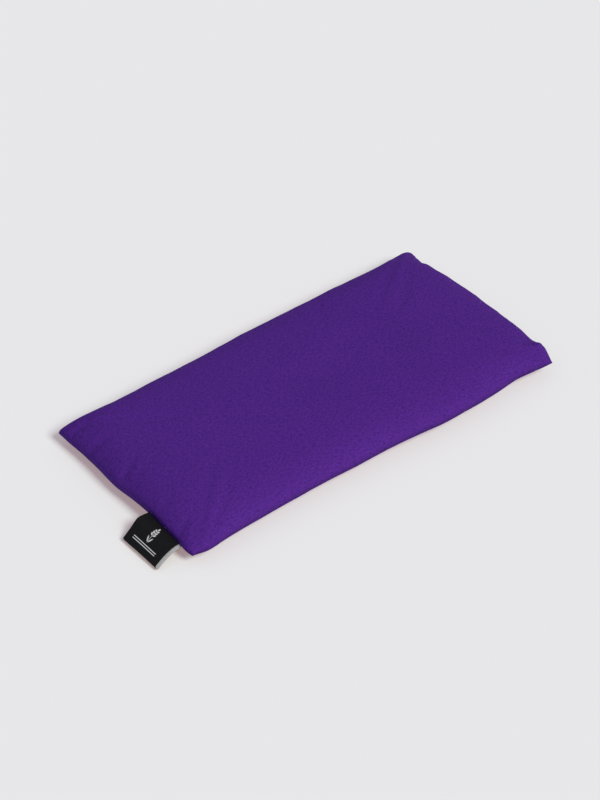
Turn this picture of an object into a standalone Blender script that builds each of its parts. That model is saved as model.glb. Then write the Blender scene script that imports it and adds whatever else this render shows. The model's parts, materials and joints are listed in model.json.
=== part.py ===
"""Eye pillow: a cotton cover, open at one short end, on a calico bag of linseed and lavender.

X runs along the pillow, with the label at the -X end and the cover's mouth at the +X end.
Y runs across it, and Z is up. The origin is the centre of the underside, at rest on a table.
"""
from dataclasses import dataclass
from math import cos, pi, radians, sin, sqrt

import bmesh
import bpy
from mathutils import Vector

# Overall size of the pillow as it lies, in metres
LENGTH = 0.232
WIDTH = 0.112
THICKNESS = 0.019
SEAM_HEIGHT = 0.0085

# Cloth, thread and clearances
COVER_CLOTH = 0.00035
BAG_CLOTH = 0.00035
THREAD_RADIUS = 0.000125
CROWN_CLEARANCE = 0.0004
BASE_CLEARANCE = 0.0003
EDGE_SLIT = 0.00015

# Shape of the swell: how square it stays towards the ends and the sides
END_POWER = 8.0
SIDE_POWER = 3.6
BASE_FLATTENING = 1.35
PULL_IN = 0.0006

# Seam allowances and hems, turned in
COVER_ALLOWANCE = 0.0065
BAG_ALLOWANCE = 0.004
COVER_FOLD = 0.00125
BAG_FOLD = 0.0009
COVER_SPREAD = 0.00065
BAG_SPREAD = 0.00045
MOUTH_LIP = 0.0045
FOLD_DEPTH = 0.0012
FOLD_INSET = 0.0009
SPREAD_END = 0.008
SPREAD_START = 0.014
THREAD_INSET = 0.0022
THREAD_DROP = 0.0004
THREAD_CORNER = 0.002
MOUTH_THREAD_INSET = 0.0040

# Inner bag and its filling
BAG_INSET = 0.008
FILLING_INSET = 0.0048
FILLING_EDGE = 0.001

# Woven label, folded double and sewn into the end seam
LABEL_WIDTH = 0.027
LABEL_LENGTH = 0.018
LABEL_CENTRE_Y = -0.0315
LABEL_LAYER = 0.0003
LABEL_LAYER_GAP = 0.0004
LABEL_ROOT_DROOP = radians(8.0)
LABEL_TIP_DROOP = radians(38.0)
LABEL_HINGE_X = -LENGTH / 2 - 0.0001
LABEL_TAIL_START = 0.0017
LABEL_TAIL_END = 0.0060
LABEL_TAIL_LOW = 0.0001
LABEL_TAIL_THICKNESS = 0.00035

# Fineness of the meshes
COVER_GRID = (20, 12)
BAG_GRID = (16, 10)
LABEL_STEPS = 9
LABEL_FOLD_STEPS = 4
THREAD_STEPS = 8

# Colours
PURPLE = (0.065, 0.016, 0.19)
PURPLE_THREAD = (0.05, 0.014, 0.15)
CALICO = (0.74, 0.68, 0.56)
CALICO_THREAD = (0.80, 0.77, 0.70)
LINSEED = (0.24, 0.11, 0.045)
LABEL_BLACK = (0.010, 0.010, 0.012)

TOP = 1
BOTTOM = -1


@dataclass(frozen=True)
class Bag:
    """A flat bag, measured from the plane of its seam."""

    half_length: float
    half_width: float
    rise: float
    fall: float
    slit: float
    fold: float
    lip: float
    spread: float
    allowance: float
    cloth: float
    grid: tuple


COVER = Bag(
    half_length=LENGTH / 2,
    half_width=WIDTH / 2,
    rise=THICKNESS - SEAM_HEIGHT,
    fall=SEAM_HEIGHT,
    slit=EDGE_SLIT,
    fold=COVER_FOLD,
    lip=MOUTH_LIP,
    spread=COVER_SPREAD,
    allowance=COVER_ALLOWANCE,
    cloth=COVER_CLOTH,
    grid=COVER_GRID,
)

INNER = Bag(
    half_length=COVER.half_length - BAG_INSET,
    half_width=COVER.half_width - BAG_INSET,
    rise=COVER.rise - COVER_CLOTH - CROWN_CLEARANCE,
    fall=COVER.fall - COVER_CLOTH - BASE_CLEARANCE,
    slit=EDGE_SLIT,
    fold=BAG_FOLD,
    lip=0.0,
    spread=BAG_SPREAD,
    allowance=BAG_ALLOWANCE,
    cloth=BAG_CLOTH,
    grid=BAG_GRID,
)

FILLING = Bag(
    half_length=INNER.half_length - FILLING_INSET,
    half_width=INNER.half_width - FILLING_INSET,
    rise=INNER.rise - BAG_CLOTH - CROWN_CLEARANCE,
    fall=INNER.fall - BAG_CLOTH - BASE_CLEARANCE,
    slit=FILLING_EDGE,
    fold=0.0,
    lip=0.0,
    spread=0.0,
    allowance=0.0,
    cloth=0.0,
    grid=BAG_GRID,
)


def clear_scene():
    for old in list(bpy.data.objects):
        bpy.data.objects.remove(old, do_unlink=True)


def make_material(name, colour, roughness):
    material = bpy.data.materials.new(name)
    material.use_nodes = True
    shader = material.node_tree.nodes["Principled BSDF"]
    shader.inputs["Base Color"].default_value = (*colour, 1.0)
    shader.inputs["Roughness"].default_value = roughness
    shader.inputs["Metallic"].default_value = 0.0
    return material


def make_empty(name, location, parent=None):
    empty = bpy.data.objects.new(name, None)
    empty.location = location
    empty.parent = parent
    bpy.context.scene.collection.objects.link(empty)
    return empty


def add_object(name, data, material, parent, location=(0.0, 0.0, 0.0)):
    piece = bpy.data.objects.new(name, data)
    piece.data.materials.append(material)
    piece.parent = parent
    piece.location = location
    bpy.context.scene.collection.objects.link(piece)
    return piece


def finish_mesh(name, shape):
    """Turn a bmesh into a smooth mesh with its faces pointing out."""
    bmesh.ops.recalc_face_normals(shape, faces=shape.faces)
    if shape.calc_volume(signed=True) < 0.0:
        bmesh.ops.reverse_faces(shape, faces=shape.faces)
    mesh = bpy.data.meshes.new(name)
    shape.to_mesh(mesh)
    shape.free()
    mesh.shade_smooth()
    mesh.set_sharp_from_angle(angle=radians(50.0))
    return mesh


def plan_point(bag, u, v, inset=0.0):
    """The place of (u, v), each from -1 to 1, on the bag's outline, whose sides pull in."""
    x = u * (bag.half_length - inset - PULL_IN * (1.0 - v * v))
    y = v * (bag.half_width - inset - PULL_IN * (1.0 - u * u))
    return x, y


def edge_roll(bag, u, v):
    """The quarter round of the folded edge: 0 at the outline, 1 once past the fold."""
    if bag.fold == 0.0:
        return 1.0
    roll = 1.0
    for share, half in ((u, bag.half_length), (v, bag.half_width)):
        inward = min(1.0, (1.0 - abs(share)) * half / bag.fold)
        roll *= sqrt(1.0 - (1.0 - inward) ** 2)
    return roll


def swell(bag, x, y):
    """How full the bag is at (x, y), from 0 at its edges to 1 over most of its middle."""
    reach = bag.half_length - bag.lip if x > 0.0 else bag.half_length
    u = min(1.0, abs(x) / reach)
    v = min(1.0, abs(y) / bag.half_width)
    return sqrt((1.0 - u**END_POWER) * (1.0 - v**SIDE_POWER))


def surface_point(bag, u, v, side):
    """A point on the outside of the bag's upper or lower panel."""
    x, y = plan_point(bag, u, v)
    full = swell(bag, x, y)
    edge = bag.slit + bag.fold * edge_roll(bag, u, v)
    if side == TOP:
        return Vector((x, y, edge + (bag.rise - edge) * full))
    flattened = min(1.0, BASE_FLATTENING * full)
    return Vector((x, y, -edge - (bag.fall - edge) * flattened))


def grid_shares(count):
    """Places from -1 to 1, closer together towards the edges, where the cloth turns."""
    return [sin(pi / 2 * (2.0 * k / count - 1.0)) for k in range(count + 1)]


def outer_grid(bag, side):
    us = grid_shares(bag.grid[0])
    vs = grid_shares(bag.grid[1])
    return [[surface_point(bag, u, v, side) for v in vs] for u in us]


def border_indices(bag):
    """The grid's border, once round."""
    columns, rows = bag.grid
    near = [(i, 0) for i in range(columns)]
    mouth = [(columns, j) for j in range(rows)]
    far = [(i, rows) for i in range(columns, 0, -1)]
    label_end = [(0, j) for j in range(rows, 0, -1)]
    return near + mouth + far + label_end


def strip_height(bag, x):
    """The height of the turned-in strip's inner face above the seam plane, lower at the mouth."""
    if bag.lip == 0.0:
        return bag.slit + bag.spread
    start = bag.half_length - SPREAD_START
    end = bag.half_length - SPREAD_END
    share = min(1.0, max(0.0, (end - x) / (end - start)))
    return bag.slit + bag.spread * share


def inner_grid(bag, outer, side):
    """The inside of a panel: the outer grid moved in by the cloth's thickness."""
    columns, rows = bag.grid
    us = grid_shares(columns)
    vs = grid_shares(rows)
    inner = [[None] * (rows + 1) for _ in range(columns + 1)]
    for i in range(1, columns):
        for j in range(1, rows):
            along = outer[i + 1][j] - outer[i - 1][j]
            across = outer[i][j + 1] - outer[i][j - 1]
            normal = along.cross(across).normalized()
            inner[i][j] = outer[i][j] - normal * side * bag.cloth
    for i, j in border_indices(bag):
        x, y = plan_point(bag, us[i], vs[j], FOLD_INSET)
        inner[i][j] = Vector((x, y, side * (strip_height(bag, x) + bag.cloth)))
    return inner


def strip_loop(bag, side, inset, height_of):
    """One loop of points round the turned-in strip."""
    us = grid_shares(bag.grid[0])
    vs = grid_shares(bag.grid[1])
    loop = []
    for i, j in border_indices(bag):
        x, y = plan_point(bag, us[i], vs[j], inset)
        loop.append(Vector((x, y, side * height_of(x))))
    return loop


def add_grid(shape, points):
    """Add a grid of points with its faces, and return its vertices."""
    verts = [[shape.verts.new(point) for point in row] for row in points]
    for i in range(len(verts) - 1):
        for j in range(len(verts[0]) - 1):
            shape.faces.new((verts[i][j], verts[i + 1][j], verts[i + 1][j + 1], verts[i][j + 1]))
    return verts


def bridge(shape, first, second):
    """Join two closed loops of vertices, point to point."""
    count = len(first)
    for k in range(count):
        following = (k + 1) % count
        shape.faces.new((first[k], first[following], second[following], second[k]))


def make_panel(name, bag, side):
    """One cloth panel with its edges turned in, as a closed solid."""
    shape = bmesh.new()
    outer_points = outer_grid(bag, side)
    outer = add_grid(shape, outer_points)
    inner = add_grid(shape, inner_grid(bag, outer_points, side))
    border = border_indices(bag)
    loops = [
        strip_loop(bag, side, bag.fold / 3, lambda x: bag.slit),
        strip_loop(bag, side, FOLD_DEPTH, lambda x: strip_height(bag, x)),
        strip_loop(bag, side, bag.allowance, lambda x: strip_height(bag, x)),
        strip_loop(bag, side, bag.allowance, lambda x: strip_height(bag, x) + bag.cloth),
    ]
    rings = [[outer[i][j] for i, j in border]]
    rings += [[shape.verts.new(point) for point in loop] for loop in loops]
    rings.append([inner[i][j] for i, j in border])
    for first, second in zip(rings, rings[1:]):
        bridge(shape, first, second)
    return finish_mesh(name, shape)


def make_filling(name, bag):
    """The loose filling as one closed solid with a narrow edge."""
    shape = bmesh.new()
    upper = add_grid(shape, outer_grid(bag, TOP))
    lower = add_grid(shape, outer_grid(bag, BOTTOM))
    border = border_indices(bag)
    bridge(shape, [upper[i][j] for i, j in border], [lower[i][j] for i, j in border])
    return finish_mesh(name, shape)


def make_thread(name, points):
    """A sewing thread as a slim round cord through the given points."""
    curve = bpy.data.curves.new(name, "CURVE")
    curve.dimensions = "3D"
    curve.bevel_depth = THREAD_RADIUS
    curve.bevel_resolution = 1
    curve.use_fill_caps = True
    spline = curve.splines.new("POLY")
    spline.points.add(len(points) - 1)
    for spot, point in zip(spline.points, points):
        spot.co = (*point, 1.0)
    return curve


def side_run(bag, v_side, x_from, x_to, inset, height):
    """Points along one long side's seam."""
    points = []
    for k in range(THREAD_STEPS + 1):
        x = x_from + (x_to - x_from) * k / THREAD_STEPS
        u = x / bag.half_length
        y = plan_point(bag, u, v_side, inset)[1]
        points.append((x, y, height))
    return points


def three_side_seam(bag, end_x):
    """Points of the seam that runs along one side, round the -X end, and back along the other."""
    inset = THREAD_INSET
    corner_x = -bag.half_length + inset + THREAD_CORNER
    near = side_run(bag, -1.0, end_x, corner_x, inset, -THREAD_DROP)
    far = side_run(bag, 1.0, corner_x, end_x, inset, -THREAD_DROP)
    reach = bag.half_width - inset - THREAD_CORNER
    across = []
    for k in range(THREAD_STEPS + 1):
        y = -reach + 2.0 * reach * k / THREAD_STEPS
        x = plan_point(bag, -1.0, y / bag.half_width, inset)[0]
        across.append((x, y, -THREAD_DROP))
    return near + across + far


def end_run(bag, x_inset, side_inset, height):
    """Points across the +X end."""
    reach = bag.half_width - side_inset
    points = []
    for k in range(THREAD_STEPS + 1):
        y = -reach + 2.0 * reach * k / THREAD_STEPS
        x = plan_point(bag, 1.0, y / bag.half_width, x_inset)[0]
        points.append((x, y, height))
    return points


def label_path():
    """The label's middle line from the seam to its fold, with the direction square to it."""
    path = []
    x = 0.0
    z = 0.0
    step = (LABEL_LENGTH - LABEL_LAYER) / LABEL_STEPS
    for k in range(LABEL_STEPS + 1):
        droop = LABEL_ROOT_DROOP + (LABEL_TIP_DROOP - LABEL_ROOT_DROOP) * k / LABEL_STEPS
        path.append((Vector((x, 0.0, z)), Vector((-sin(droop), 0.0, cos(droop))), droop))
        x -= step * cos(droop)
        z -= step * sin(droop)
    return path


def make_label(name):
    """The folded label: an upper layer, the fold at its free end, and a lower layer."""
    inner_half = LABEL_LAYER_GAP / 2
    outer_half = inner_half + LABEL_LAYER
    path = label_path()
    pairs = [(spot + up * outer_half, spot + up * inner_half) for spot, up, _ in path]
    tip, up, droop = path[-1]
    forward = Vector((-cos(droop), 0.0, -sin(droop)))
    for k in range(1, LABEL_FOLD_STEPS):
        turn = pi * k / LABEL_FOLD_STEPS
        direction = up * cos(turn) + forward * sin(turn)
        pairs.append((tip + direction * outer_half, tip + direction * inner_half))
    pairs += [(spot - up * outer_half, spot - up * inner_half) for spot, up, _ in reversed(path)]

    shape = bmesh.new()
    first_edge = Vector((0.0, -LABEL_WIDTH / 2, 0.0))
    section = [[shape.verts.new(point + first_edge) for point in pair] for pair in pairs]
    faces = []
    for (outer_a, inner_a), (outer_b, inner_b) in zip(section, section[1:]):
        faces.append(shape.faces.new((outer_a, inner_a, inner_b, outer_b)))
    grown = bmesh.ops.extrude_face_region(shape, geom=faces, use_keep_orig=True)
    moved = [item for item in grown["geom"] if isinstance(item, bmesh.types.BMVert)]
    bmesh.ops.translate(shape, verts=moved, vec=(0.0, LABEL_WIDTH, 0.0))
    return finish_mesh(name, shape)


def make_label_tail(name):
    """The label's sewn-in tail: a flat strip between the two seam allowances."""
    shape = bmesh.new()
    depth = LABEL_TAIL_END - LABEL_TAIL_START
    bmesh.ops.create_cube(shape, size=1.0)
    bmesh.ops.scale(shape, verts=shape.verts, vec=(depth, LABEL_WIDTH, LABEL_TAIL_THICKNESS))
    return finish_mesh(name, shape)


def build_cover(parent):
    cloth = make_material("cover_cotton", PURPLE, 0.9)
    thread = make_material("cover_thread", PURPLE_THREAD, 0.7)
    label_weave = make_material("label_weave", LABEL_BLACK, 0.6)
    add_object("cover_top_panel", make_panel("cover_top_panel", COVER, TOP), cloth, parent)
    add_object("cover_bottom_panel", make_panel("cover_bottom_panel", COVER, BOTTOM), cloth, parent)

    seam_end = COVER.half_length - SPREAD_START
    seam = make_thread("cover_seam_thread", three_side_seam(COVER, seam_end))
    add_object("cover_seam_thread", seam, thread, parent)

    pocket_floor = COVER.slit + COVER.cloth
    pocket_roof = COVER.slit + COVER.fold - COVER.cloth
    hem_height = (pocket_floor + pocket_roof) / 2
    for name, side in (("mouth_top_hem_thread", TOP), ("mouth_bottom_hem_thread", BOTTOM)):
        points = end_run(COVER, MOUTH_THREAD_INSET, COVER_ALLOWANCE, side * hem_height)
        add_object(name, make_thread(name, points), thread, parent)

    tail_x = -COVER.half_length + (LABEL_TAIL_START + LABEL_TAIL_END) / 2
    tail_z = LABEL_TAIL_LOW + LABEL_TAIL_THICKNESS / 2
    tail_place = (tail_x, LABEL_CENTRE_Y, tail_z)
    add_object("label_tail", make_label_tail("label_tail"), label_weave, parent, tail_place)
    return label_weave


def build_label(parent, label_weave):
    add_object("woven_label", make_label("woven_label"), label_weave, parent)


def build_inner_pillow(parent):
    calico = make_material("inner_calico", CALICO, 0.9)
    thread = make_material("inner_thread", CALICO_THREAD, 0.7)
    seeds = make_material("linseed_and_lavender", LINSEED, 0.6)
    add_object("inner_bag_top_panel", make_panel("inner_bag_top_panel", INNER, TOP), calico, parent)
    add_object(
        "inner_bag_bottom_panel", make_panel("inner_bag_bottom_panel", INNER, BOTTOM), calico, parent
    )
    seam_end = INNER.half_length - THREAD_INSET - THREAD_CORNER
    seam = make_thread("inner_bag_seam_thread", three_side_seam(INNER, seam_end))
    add_object("inner_bag_seam_thread", seam, thread, parent)
    closing_points = end_run(INNER, THREAD_INSET, THREAD_INSET + THREAD_CORNER, -THREAD_DROP)
    closing = make_thread("inner_bag_closing_thread", closing_points)
    add_object("inner_bag_closing_thread", closing, thread, parent)
    add_object("seed_filling", make_filling("seed_filling", FILLING), seeds, parent)


def main():
    clear_scene()
    cover = make_empty("cover", (0.0, 0.0, SEAM_HEIGHT))
    inner_pillow = make_empty("inner_pillow_slide", (0.0, 0.0, 0.0), cover)
    label = make_empty("label_hinge", (LABEL_HINGE_X, LABEL_CENTRE_Y, 0.0), cover)
    label_weave = build_cover(cover)
    build_label(label, label_weave)
    build_inner_pillow(inner_pillow)
    bpy.context.view_layer.update()


main()
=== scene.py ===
import json
from math import cos, pi, radians, sin

import bmesh
import bpy
import numpy as np
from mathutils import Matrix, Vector, kdtree


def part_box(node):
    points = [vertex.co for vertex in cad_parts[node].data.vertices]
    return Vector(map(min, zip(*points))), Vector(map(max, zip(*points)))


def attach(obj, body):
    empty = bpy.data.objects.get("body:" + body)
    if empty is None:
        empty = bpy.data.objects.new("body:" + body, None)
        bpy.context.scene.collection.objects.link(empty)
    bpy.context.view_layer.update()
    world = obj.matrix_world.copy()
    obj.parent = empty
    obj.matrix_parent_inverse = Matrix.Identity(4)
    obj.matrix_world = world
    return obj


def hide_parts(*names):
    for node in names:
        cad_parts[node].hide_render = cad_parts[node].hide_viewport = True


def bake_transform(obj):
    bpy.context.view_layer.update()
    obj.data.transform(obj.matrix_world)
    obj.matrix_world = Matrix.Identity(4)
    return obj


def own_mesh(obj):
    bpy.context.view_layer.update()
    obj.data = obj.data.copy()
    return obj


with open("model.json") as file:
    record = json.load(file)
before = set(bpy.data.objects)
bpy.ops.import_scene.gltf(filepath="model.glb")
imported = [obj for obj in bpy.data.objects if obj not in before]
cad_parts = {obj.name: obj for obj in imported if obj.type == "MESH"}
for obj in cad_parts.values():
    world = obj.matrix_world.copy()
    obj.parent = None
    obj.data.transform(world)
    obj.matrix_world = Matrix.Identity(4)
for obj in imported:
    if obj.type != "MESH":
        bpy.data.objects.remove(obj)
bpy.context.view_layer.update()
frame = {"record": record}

MM = 0.001

# ------------------------ places read from the frame
COVER_LOW, COVER_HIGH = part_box("cover_top_panel")
BAG_LOW, BAG_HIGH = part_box("inner_bag_top_panel")
FILL_LOW, FILL_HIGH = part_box("seed_filling")
LABEL_LOW, LABEL_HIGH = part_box("woven_label")
LABEL_Y = (LABEL_LOW[1] + LABEL_HIGH[1]) / 2
JOINTS = frame["record"]["behaviour"]["joints"]
HINGE = next(joint for joint in JOINTS if joint["name"] == "label_hinge")["pos_m"]
SEAM_Z = HINGE[2]

# ------------------------ looks, as seen
PURPLE_LIGHT = (0.0905, 0.0225, 0.262)
PURPLE_DARK = (0.0445, 0.0098, 0.142)
PURPLE_SHEEN = (0.45, 0.16, 0.85)
PURPLE_THREAD = (0.055, 0.015, 0.16)
BLACK_WEAVE = (0.0058, 0.0058, 0.0068)
WHITE_WEAVE = (0.72, 0.72, 0.73)
GREY_WEAVE = (0.48, 0.49, 0.51)
CALICO = (0.72, 0.66, 0.54)
CALICO_FLECK = (0.42, 0.33, 0.22)
CALICO_SLUB = (0.80, 0.75, 0.64)
CALICO_THREAD = (0.80, 0.77, 0.70)
LINSEED = (0.20, 0.085, 0.032)
LAVENDER = (0.25, 0.20, 0.36)
FLOOR = (0.485, 0.5765, 0.617)
# painted glow: the floor gives off a faint pinkish light of its own, which lightens and warms the shadows
# on it; the floor's own colour above is bluer so that the lit floor stays even
FLOOR_PAINTED_GLOW = (1.0, 0.715, 0.62)
FLOOR_PAINTED_GLOW_STRENGTH = 0.315
FLOOR_RADIUS = 2.6
FLOOR_DROP = 0.05 * MM       # keeps the table's surface clear of the cloth that lies on it

SKY = (0.87, 1.0, 1.34)
SKY_STRENGTH = 0.30
KEY_LIGHT_FROM = (0.16, -0.95, 1.0)
KEY_LIGHT = (1.056, 0.993, 0.86)
KEY_LIGHT_STRENGTH = 3.07
KEY_LIGHT_ANGLE = radians(24.0)

CAMERA_AZIMUTH = radians(-38.67)
CAMERA_ELEVATION = radians(40.75)
CAMERA_DISTANCE = 1.8
CAMERA_TARGET = (-5.64 * MM, 0.88 * MM, 8.0 * MM)
CAMERA_LENS = 160.45
CAMERA_SENSOR = 36.0

# ------------------------ how it is sewn
COVER_ALLOWANCE = 6.5 * MM
BAG_ALLOWANCE = 4.0 * MM
MOUTH_LIP = 1.5 * MM
CLOTH = {"cloth": 0.35 * MM, "slit": 0.05 * MM}
COVER_SEWING = {**CLOTH, "allowance": COVER_ALLOWANCE, "fold": 0.8 * MM, "spread": 0.65 * MM}
BAG_SEWING = {**CLOTH, "allowance": BAG_ALLOWANCE, "fold": 0.7 * MM, "spread": 0.45 * MM}
SEAM_INSET = 2.2 * MM
HEM_INSET = 4.0 * MM
STITCH = 2.6 * MM
STITCH_DIP = 0.10 * MM
THREAD_RADIUS = 0.11 * MM

LABEL_LENGTH = 18.0 * MM
LABEL_WIDTH = 26.0 * MM
LABEL_TAIL = 5.5 * MM
LABEL_LAYER = 0.32 * MM
LABEL_GAP = 0.7 * MM
LABEL_SLIP = 1.3 * MM        # how far the lower layer lies towards the near side
LABEL_SKEW = 2.0 * MM        # how far the free end lies towards the near side


# ------------------------ node helpers
class Nodes:
    """A short way to write a node material."""

    def __init__(self, name):
        self.material = bpy.data.materials.new(name)
        self.material.use_nodes = True
        self.tree = self.material.node_tree
        self.shader = self.tree.nodes["Principled BSDF"]

    def add(self, kind, **settings):
        node = self.tree.nodes.new(kind)
        for key, value in settings.items():
            setattr(node, key, value)
        return node

    def link(self, output, socket):
        self.tree.links.new(output, socket)

    def set(self, **values):
        for key, value in values.items():
            socket = self.shader.inputs[key.replace("_", " ")]
            socket.default_value = (*value, 1.0) if isinstance(value, tuple) else value

    def math(self, operation, first, second=None):
        node = self.add("ShaderNodeMath", operation=operation)
        for socket, value in zip(node.inputs, (first, second)):
            if value is None:
                continue
            if isinstance(value, (int, float)):
                socket.default_value = value
            else:
                self.link(value, socket)
        return node.outputs[0]

    def mix(self, factor, first, second):
        node = self.add("ShaderNodeMix", data_type="RGBA")
        sockets = (node.inputs[0], node.inputs[6], node.inputs[7])
        for socket, value in zip(sockets, (factor, first, second)):
            if isinstance(value, tuple):
                socket.default_value = (*value, 1.0)
            elif isinstance(value, (int, float)):
                socket.default_value = value
            else:
                self.link(value, socket)
        return node.outputs[2]

    def cloth_coordinates(self):
        """Metres along the cloth's two directions, from the mesh's own cloth map."""
        uv = self.add("ShaderNodeUVMap", uv_map="cloth")
        parts = self.add("ShaderNodeSeparateXYZ")
        self.link(uv.outputs[0], parts.inputs[0])
        return uv.outputs[0], parts.outputs[0], parts.outputs[1]

    def stretched(self, vector, scale):
        node = self.add("ShaderNodeMapping")
        self.link(vector, node.inputs["Vector"])
        node.inputs["Scale"].default_value = scale
        return node.outputs[0]

    def noise(self, vector, scale, detail=2.0, roughness=0.5):
        node = self.add("ShaderNodeTexNoise")
        self.link(vector, node.inputs["Vector"])
        node.inputs["Scale"].default_value = scale
        node.inputs["Detail"].default_value = detail
        node.inputs["Roughness"].default_value = roughness
        return node.outputs[0]

    def ramp(self, value, low, high):
        node = self.add("ShaderNodeMapRange")
        self.link(value, node.inputs[0])
        node.inputs["From Min"].default_value = low
        node.inputs["From Max"].default_value = high
        return node.outputs[0]

    def bump(self, height, distance, strength=1.0, after=None):
        node = self.add("ShaderNodeBump")
        self.link(height, node.inputs["Height"])
        node.inputs["Distance"].default_value = distance
        node.inputs["Strength"].default_value = strength
        if after is not None:
            self.link(after, node.inputs["Normal"])
        return node.outputs[0]

    def finish(self, colour, normal):
        self.link(colour, self.shader.inputs["Base Color"])
        self.link(normal, self.shader.inputs["Normal"])
        return self.material


def dyed(colour, factor):
    """The colour, darker or lighter by a factor."""
    return tuple(min(1.0, factor * part) for part in colour)


def plain_weave(n, along, across, pitch_along, pitch_across):
    """The height of a plain weave's yarns, from 0 to 1."""
    warp = n.math("ABSOLUTE", n.math("SINE", n.math("MULTIPLY", along, pi / pitch_along)))
    weft = n.math("ABSOLUTE", n.math("SINE", n.math("MULTIPLY", across, pi / pitch_across)))
    cell = n.math("ADD", n.math("DIVIDE", along, pitch_along), n.math("DIVIDE", across, pitch_across))
    warp_on_top = n.math("GREATER_THAN", n.math("SINE", n.math("MULTIPLY", cell, pi)), 0.0)
    weft_on_top = n.math("SUBTRACT", 1.0, warp_on_top)
    return n.math("ADD", n.math("MULTIPLY", warp, warp_on_top), n.math("MULTIPLY", weft, weft_on_top))


def cover_material():
    """Purple cotton: a plain weave with heavier yarns along the pillow, slubs, and faint darker blotches.
    """
    n = Nodes("cover_cotton")
    vector, along, across = n.cloth_coordinates()
    weave = plain_weave(n, along, across, 0.42 * MM, 0.55 * MM)
    slub = n.noise(n.stretched(vector, (480.0, 1150.0, 1.0)), 1.0, 2.0, 0.6)
    rib = n.noise(n.stretched(vector, (90.0, 900.0, 1.0)), 1.0, 2.0, 0.6)
    fleck = n.noise(vector, 880.0, 1.0, 0.5)
    # faint darker blotches a few centimetres across, spread at random
    cloud = n.noise(vector, 26.0, 3.0, 0.5)
    tone = n.mix(n.ramp(slub, 0.30, 0.70), PURPLE_DARK, PURPLE_LIGHT)
    tone = n.mix(n.math("MULTIPLY", n.ramp(rib, 0.35, 0.65), 0.22), tone, PURPLE_DARK)
    tone = n.mix(n.math("MULTIPLY", n.ramp(fleck, 0.42, 0.62), 0.55), tone, PURPLE_LIGHT)
    tone = n.mix(n.math("MULTIPLY", n.ramp(cloud, 0.35, 0.7), 0.12), tone, PURPLE_DARK)
    gaps = n.math("MULTIPLY", n.math("SUBTRACT", 1.0, weave), 0.3)
    colour = n.mix(gaps, tone, PURPLE_DARK)
    relief = n.bump(rib, 0.08 * MM, 0.8)
    relief = n.bump(fleck, 0.07 * MM, 0.8, relief)
    relief = n.bump(slub, 0.09 * MM, 0.8, relief)
    relief = n.bump(weave, 0.09 * MM, 0.8, relief)
    n.set(Roughness=0.9, Sheen_Weight=0.05, Sheen_Roughness=0.5, Specular_IOR_Level=0.06)
    n.set(Sheen_Tint=PURPLE_SHEEN)
    return n.finish(colour, relief)


def calico_material():
    """Unbleached calico: a plain weave with flecks of seed husk."""
    n = Nodes("inner_calico")
    vector, along, across = n.cloth_coordinates()
    weave = plain_weave(n, along, across, 0.45 * MM, 0.45 * MM)
    cloud = n.noise(vector, 40.0, 4.0, 0.6)
    slub = n.noise(n.stretched(vector, (70.0, 700.0, 1.0)), 1.0, 2.0, 0.5)
    speck = n.noise(vector, 900.0, 1.0, 0.5)
    tone = n.mix(n.ramp(cloud, 0.3, 0.75), dyed(CALICO, 0.93), CALICO)
    tone = n.mix(n.math("MULTIPLY", n.ramp(slub, 0.35, 0.75), 0.3), tone, CALICO_SLUB)
    tone = n.mix(n.ramp(speck, 0.73, 0.78), tone, CALICO_FLECK)
    gaps = n.math("MULTIPLY", n.math("SUBTRACT", 1.0, weave), 0.25)
    colour = n.mix(gaps, tone, dyed(CALICO, 0.6))
    relief = n.bump(slub, 0.06 * MM, 0.6)
    relief = n.bump(weave, 0.10 * MM, 0.8, relief)
    n.set(Roughness=0.92, Sheen_Weight=0.12, Sheen_Roughness=0.5, Specular_IOR_Level=0.2)
    return n.finish(colour, relief)


def thread_material(name, colour):
    """Twisted sewing thread."""
    n = Nodes(name)
    place = n.add("ShaderNodeTexCoord").outputs["Object"]
    parts = n.add("ShaderNodeSeparateXYZ")
    n.link(place, parts.inputs[0])
    total = n.math("ADD", n.math("ADD", parts.outputs[0], parts.outputs[1]), parts.outputs[2])
    twist = n.math("ABSOLUTE", n.math("SINE", n.math("MULTIPLY", total, pi / (0.35 * MM))))
    fibre = n.noise(place, 2500.0, 2.0, 0.6)
    tone = n.mix(twist, dyed(colour, 0.65), colour)
    tone = n.mix(n.math("MULTIPLY", fibre, 0.3), tone, dyed(colour, 1.25))
    relief = n.bump(twist, 0.05 * MM, 0.8)
    n.set(Roughness=0.6, Sheen_Weight=0.1)
    return n.finish(tone, relief)


def label_material():
    """Black damask label with a white woven motif on its face and a pale back."""
    n = Nodes("label_weave")
    vector, along, across = n.cloth_coordinates()
    motif = n.add("ShaderNodeAttribute", attribute_name="motif").outputs["Fac"]
    back = n.add("ShaderNodeAttribute", attribute_name="back").outputs["Fac"]
    weave = plain_weave(n, along, across, 0.16 * MM, 0.22 * MM)
    fleck = n.noise(vector, 1800.0, 2.0, 0.6)
    black = n.mix(n.math("MULTIPLY", weave, 0.6), dyed(BLACK_WEAVE, 0.5), dyed(BLACK_WEAVE, 1.5))
    white = n.mix(n.math("MULTIPLY", weave, 0.6), dyed(WHITE_WEAVE, 0.78), WHITE_WEAVE)
    grey = n.mix(n.ramp(fleck, 0.35, 0.65), dyed(GREY_WEAVE, 0.7), GREY_WEAVE)
    face = n.mix(motif, black, white)
    colour = n.mix(back, face, grey)
    height = n.math("ADD", n.math("MULTIPLY", weave, 0.5), n.math("MULTIPLY", motif, 0.6))
    relief = n.bump(height, 0.06 * MM, 0.8)
    n.set(Roughness=0.6, Sheen_Weight=0.01, Sheen_Roughness=0.4, Specular_IOR_Level=0.15)
    return n.finish(colour, relief)


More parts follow.
